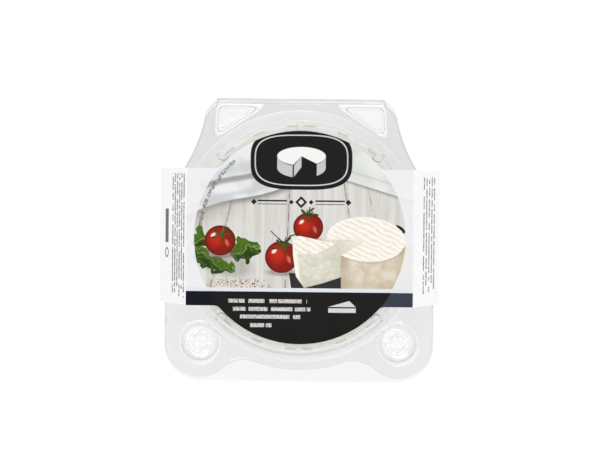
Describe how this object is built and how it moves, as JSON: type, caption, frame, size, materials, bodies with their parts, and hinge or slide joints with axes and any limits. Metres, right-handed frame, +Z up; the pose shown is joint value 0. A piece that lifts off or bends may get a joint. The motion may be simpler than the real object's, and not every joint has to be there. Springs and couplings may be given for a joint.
{
  "type": "packaged cheese wheel",
  "caption": "Small soft white cheese wheel lying in a clear hinged plastic case with crescent feet, snap studs and a printed card sleeve folded round it.",
  "frame": {"origin": "centre of the pack's outline, on the surface that the tray's crescent feet stand on", "axes": "+Z up through the lid, +Y towards the hinge edge, +X to the right when the label is read with the hinge edge at its top"},
  "size_m": [0.1048, 0.1058, 0.0355],
  "materials": {
    "rind": "matte",
    "clear_plastic": "gloss",
    "printed_card": "satin"
  },
  "bodies": {
    "root": {"cheese_wheel": "rind", "tray": "clear_plastic", "lid": "clear_plastic", "live_hinge": "clear_plastic", "card_sleeve": "printed_card"}
  },
  "joints": []
}
